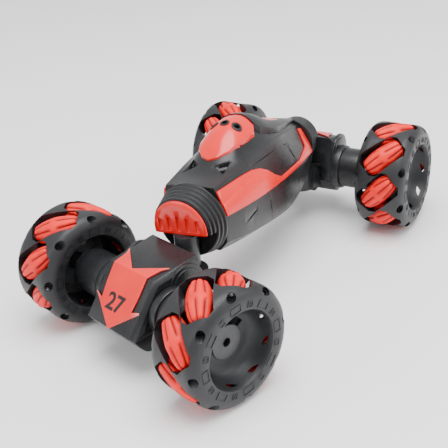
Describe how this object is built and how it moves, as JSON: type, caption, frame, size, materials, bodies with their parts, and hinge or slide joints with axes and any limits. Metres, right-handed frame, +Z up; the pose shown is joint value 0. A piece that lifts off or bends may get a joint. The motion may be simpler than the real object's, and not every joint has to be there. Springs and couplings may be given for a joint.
{
  "type": "remote controlled stunt car",
  "caption": "Remote controlled stunt car: a narrow body between two swivelling wheel modules, with roller-tread wheels.",
  "frame": {"origin": "middle of the bounding box on the ground plane, with the wheels standing on z = 0", "axes": "the car faces -Y, its left side is +X, +Z is up; the front module is stored turned, as in the picture"},
  "size_m": [0.223, 0.3644, 0.1306],
  "materials": {
    "body_black": "satin black moulded plastic with soft highlights",
    "wheel_black": "satin black moulded plastic, slightly grained",
    "panel_red": "glossy red moulded plastic",
    "roller_red": "matt red soft plastic with moulded grooves",
    "cell_wrap": "blue shrink wrap over a cell pack",
    "gearbox_grey": "plain grey gearbox moulding with steel half shafts",
    "switch_grey": "dark grey slide button"
  },
  "bodies": {
    "car_body": {"body_upper_shell": "body_black", "body_lower_shell": "body_black", "battery_cover": "body_black", "battery_pack": "cell_wrap", "canopy_insert": "panel_red", "side_panel_left": "panel_red", "side_panel_right": "panel_red", "front_knuckle": "body_black", "rear_knuckle": "body_black", "front_grille": "panel_red", "rear_grille": "panel_red"},
    "power_switch": {"power_switch": "switch_grey"},
    "front_module": {"front_module_upper": "body_black", "front_module_lower": "body_black", "front_gearbox": "gearbox_grey", "front_number_panel": "panel_red"},
    "rear_module": {"rear_module_upper": "body_black", "rear_module_lower": "body_black", "rear_gearbox": "gearbox_grey", "rear_number_panel": "panel_red"},
    "front_left_wheel": {"front_left_outer_shell": "wheel_black", "front_left_inner_shell": "wheel_black"},
    "front_right_wheel": {"front_right_outer_shell": "wheel_black", "front_right_inner_shell": "wheel_black"},
    "rear_left_wheel": {"rear_left_outer_shell": "wheel_black", "rear_left_inner_shell": "wheel_black"},
    "rear_right_wheel": {"rear_right_outer_shell": "wheel_black", "rear_right_inner_shell": "wheel_black"},
    "front_left_roller_1": {"front_left_roller_1": "roller_red"},
    "front_left_roller_2": {"front_left_roller_2": "roller_red"},
    "front_left_roller_3": {"front_left_roller_3": "roller_red"},
    "front_left_roller_4": {"front_left_roller_4": "roller_red"},
    "front_left_roller_5": {"front_left_roller_5": "roller_red"},
    "front_left_roller_6": {"front_left_roller_6": "roller_red"},
    "front_left_roller_7": {"front_left_roller_7": "roller_red"},
    "front_left_roller_8": {"front_left_roller_8": "roller_red"},
    "front_right_roller_1": {"front_right_roller_1": "roller_red"},
    "front_right_roller_2": {"front_right_roller_2": "roller_red"},
    "front_right_roller_3": {"front_right_roller_3": "roller_red"},
    "front_right_roller_4": {"front_right_roller_4": "roller_red"},
    "front_right_roller_5": {"front_right_roller_5": "roller_red"},
    "front_right_roller_6": {"front_right_roller_6": "roller_red"},
    "front_right_roller_7": {"front_right_roller_7": "roller_red"},
    "front_right_roller_8": {"front_right_roller_8": "roller_red"},
    "rear_left_roller_1": {"rear_left_roller_1": "roller_red"},
    "rear_left_roller_2": {"rear_left_roller_2": "roller_red"},
    "rear_left_roller_3": {"rear_left_roller_3": "roller_red"},
    "rear_left_roller_4": {"rear_left_roller_4": "roller_red"},
    "rear_left_roller_5": {"rear_left_roller_5": "roller_red"},
    "rear_left_roller_6": {"rear_left_roller_6": "roller_red"},
    "rear_left_roller_7": {"rear_left_roller_7": "roller_red"},
    "rear_left_roller_8": {"rear_left_roller_8": "roller_red"},
    "rear_right_roller_1": {"rear_right_roller_1": "roller_red"},
    "rear_right_roller_2": {"rear_right_roller_2": "roller_red"},
    "rear_right_roller_3": {"rear_right_roller_3": "roller_red"},
    "rear_right_roller_4": {"rear_right_roller_4": "roller_red"},
    "rear_right_roller_5": {"rear_right_roller_5": "roller_red"},
    "rear_right_roller_6": {"rear_right_roller_6": "roller_red"},
    "rear_right_roller_7": {"rear_right_roller_7": "roller_red"},
    "rear_right_roller_8": {"rear_right_roller_8": "roller_red"}
  },
  "joints": [
    {"name": "power_switch_slide", "type": "slide", "parent": "car_body", "child": "power_switch", "axis": [0.9942, -0.026, 0.1045], "range_m": [0, 0.004]},
    {"name": "front_swivel", "type": "hinge", "parent": "car_body", "child": "front_module", "pos_m": [0.00786, -0.07042, 0.0587], "axis": [0, 0, 1], "range_deg": [-15, 50]},
    {"name": "rear_swivel", "type": "hinge", "parent": "car_body", "child": "rear_module", "pos_m": [0.01237, 0.11605, 0.06], "axis": [0, 0, 1], "range_deg": [-25, 25]},
    {"name": "front_left_wheel_spin", "type": "hinge", "parent": "front_module", "child": "front_left_wheel", "pos_m": [0.06748, -0.136, 0.0437], "axis": [0.9472, -0.3206, 0], "continuous": true},
    {"name": "front_right_wheel_spin", "type": "hinge", "parent": "front_module", "child": "front_right_wheel", "pos_m": [-0.07934, -0.0863, 0.0437], "axis": [0.9472, -0.3206, 0], "continuous": true},
    {"name": "rear_left_wheel_spin", "type": "hinge", "parent": "rear_module", "child": "rear_left_wheel", "pos_m": [0.08987, 0.13805, 0.045], "axis": [1, 0, 0], "continuous": true},
    {"name": "rear_right_wheel_spin", "type": "hinge", "parent": "rear_module", "child": "rear_right_wheel", "pos_m": [-0.06513, 0.13805, 0.045], "axis": [1, 0, 0], "continuous": true},
    {"name": "front_left_roller_1_spin", "type": "hinge", "parent": "front_left_wheel", "child": "front_left_roller_1", "pos_m": [0.0569, -0.16724, 0.05736], "axis": [-0.583, 0.483, 0.6533], "continuous": true},
    {"name": "front_left_roller_2_spin", "type": "hinge", "parent": "front_left_wheel", "child": "front_left_roller_2", "pos_m": [0.0631, -0.14894, 0.07668], "axis": [-0.4603, 0.8455, 0.2706], "continuous": true},
    {"name": "front_left_roller_3_spin", "type": "hinge", "parent": "front_left_wheel", "child": "front_left_roller_3", "pos_m": [0.07186, -0.12306, 0.07668], "axis": [-0.4603, 0.8455, -0.2706], "continuous": true},
    {"name": "front_left_roller_4_spin", "type": "hinge", "parent": "front_left_wheel", "child": "front_left_roller_4", "pos_m": [0.07805, -0.10476, 0.05736], "axis": [-0.583, 0.483, -0.6533], "continuous": true},
    {"name": "front_left_roller_5_spin", "type": "hinge", "parent": "front_left_wheel", "child": "front_left_roller_5", "pos_m": [0.07805, -0.10476, 0.03004], "axis": [-0.7565, -0.0296, -0.6533], "continuous": true},
    {"name": "front_left_roller_6_spin", "type": "hinge", "parent": "front_left_wheel", "child": "front_left_roller_6", "pos_m": [0.07186, -0.12306, 0.01072], "axis": [-0.8792, -0.3921, -0.2706], "continuous": true},
    {"name": "front_left_roller_7_spin", "type": "hinge", "parent": "front_left_wheel", "child": "front_left_roller_7", "pos_m": [0.0631, -0.14894, 0.01072], "axis": [-0.8792, -0.3921, 0.2706], "continuous": true},
    {"name": "front_left_roller_8_spin", "type": "hinge", "parent": "front_left_wheel", "child": "front_left_roller_8", "pos_m": [0.0569, -0.16724, 0.03004], "axis": [-0.7565, -0.0296, 0.6533], "continuous": true},
    {"name": "front_right_roller_1_spin", "type": "hinge", "parent": "front_right_wheel", "child": "front_right_roller_1", "pos_m": [-0.06877, -0.05506, 0.05736], "axis": [-0.7565, -0.0296, 0.6533], "continuous": true},
    {"name": "front_right_roller_2_spin", "type": "hinge", "parent": "front_right_wheel", "child": "front_right_roller_2", "pos_m": [-0.07496, -0.07336, 0.07668], "axis": [-0.8792, -0.3921, 0.2706], "continuous": true},
    {"name": "front_right_roller_3_spin", "type": "hinge", "parent": "front_right_wheel", "child": "front_right_roller_3", "pos_m": [-0.08372, -0.09924, 0.07668], "axis": [-0.8792, -0.3921, -0.2706], "continuous": true},
    {"name": "front_right_roller_4_spin", "type": "hinge", "parent": "front_right_wheel", "child": "front_right_roller_4", "pos_m": [-0.08991, -0.11754, 0.05736], "axis": [-0.7565, -0.0296, -0.6533], "continuous": true},
    {"name": "front_right_roller_5_spin", "type": "hinge", "parent": "front_right_wheel", "child": "front_right_roller_5", "pos_m": [-0.08991, -0.11754, 0.03004], "axis": [-0.583, 0.483, -0.6533], "continuous": true},
    {"name": "front_right_roller_6_spin", "type": "hinge", "parent": "front_right_wheel", "child": "front_right_roller_6", "pos_m": [-0.08372, -0.09924, 0.01072], "axis": [-0.4603, 0.8455, -0.2706], "continuous": true},
    {"name": "front_right_roller_7_spin", "type": "hinge", "parent": "front_right_wheel", "child": "front_right_roller_7", "pos_m": [-0.07496, -0.07336, 0.01072], "axis": [-0.4603, 0.8455, 0.2706], "continuous": true},
    {"name": "front_right_roller_8_spin", "type": "hinge", "parent": "front_right_wheel", "child": "front_right_roller_8", "pos_m": [-0.06877, -0.05506, 0.03004], "axis": [-0.583, 0.483, 0.6533], "continuous": true},
    {"name": "rear_left_roller_1_spin", "type": "hinge", "parent": "rear_left_wheel", "child": "rear_left_roller_1", "pos_m": [0.08987, 0.10235, 0.045], "axis": [0.7071, 0, 0.7071], "continuous": true},
    {"name": "rear_left_roller_2_spin", "type": "hinge", "parent": "rear_left_wheel", "child": "rear_left_roller_2", "pos_m": [0.08987, 0.11281, 0.07024], "axis": [0.7071, 0.5, 0.5], "continuous": true},
    {"name": "rear_left_roller_3_spin", "type": "hinge", "parent": "rear_left_wheel", "child": "rear_left_roller_3", "pos_m": [0.08987, 0.13805, 0.0807], "axis": [0.7071, 0.7071, 0], "continuous": true},
    {"name": "rear_left_roller_4_spin", "type": "hinge", "parent": "rear_left_wheel", "child": "rear_left_roller_4", "pos_m": [0.08987, 0.16329, 0.07024], "axis": [0.7071, 0.5, -0.5], "continuous": true},
    {"name": "rear_left_roller_5_spin", "type": "hinge", "parent": "rear_left_wheel", "child": "rear_left_roller_5", "pos_m": [0.08987, 0.17375, 0.045], "axis": [0.7071, 0, -0.7071], "continuous": true},
    {"name": "rear_left_roller_6_spin", "type": "hinge", "parent": "rear_left_wheel", "child": "rear_left_roller_6", "pos_m": [0.08987, 0.16329, 0.01976], "axis": [0.7071, -0.5, -0.5], "continuous": true},
    {"name": "rear_left_roller_7_spin", "type": "hinge", "parent": "rear_left_wheel", "child": "rear_left_roller_7", "pos_m": [0.08987, 0.13805, 0.0093], "axis": [0.7071, -0.7071, 0], "continuous": true},
    {"name": "rear_left_roller_8_spin", "type": "hinge", "parent": "rear_left_wheel", "child": "rear_left_roller_8", "pos_m": [0.08987, 0.11281, 0.01976], "axis": [0.7071, -0.5, 0.5], "continuous": true},
    {"name": "rear_right_roller_1_spin", "type": "hinge", "parent": "rear_right_wheel", "child": "rear_right_roller_1", "pos_m": [-0.06513, 0.17375, 0.045], "axis": [0.7071, 0, 0.7071], "continuous": true},
    {"name": "rear_right_roller_2_spin", "type": "hinge", "parent": "rear_right_wheel", "child": "rear_right_roller_2", "pos_m": [-0.06513, 0.16329, 0.07024], "axis": [0.7071, -0.5, 0.5], "continuous": true},
    {"name": "rear_right_roller_3_spin", "type": "hinge", "parent": "rear_right_wheel", "child": "rear_right_roller_3", "pos_m": [-0.06513, 0.13805, 0.0807], "axis": [0.7071, -0.7071, 0], "continuous": true},
    {"name": "rear_right_roller_4_spin", "type": "hinge", "parent": "rear_right_wheel", "child": "rear_right_roller_4", "pos_m": [-0.06513, 0.11281, 0.07024], "axis": [0.7071, -0.5, -0.5], "continuous": true},
    {"name": "rear_right_roller_5_spin", "type": "hinge", "parent": "rear_right_wheel", "child": "rear_right_roller_5", "pos_m": [-0.06513, 0.10235, 0.045], "axis": [0.7071, 0, -0.7071], "continuous": true},
    {"name": "rear_right_roller_6_spin", "type": "hinge", "parent": "rear_right_wheel", "child": "rear_right_roller_6", "pos_m": [-0.06513, 0.11281, 0.01976], "axis": [0.7071, 0.5, -0.5], "continuous": true},
    {"name": "rear_right_roller_7_spin", "type": "hinge", "parent": "rear_right_wheel", "child": "rear_right_roller_7", "pos_m": [-0.06513, 0.13805, 0.0093], "axis": [0.7071, 0.7071, 0], "continuous": true},
    {"name": "rear_right_roller_8_spin", "type": "hinge", "parent": "rear_right_wheel", "child": "rear_right_roller_8", "pos_m": [-0.06513, 0.16329, 0.01976], "axis": [0.7071, 0.5, 0.5], "continuous": true}
  ]
}
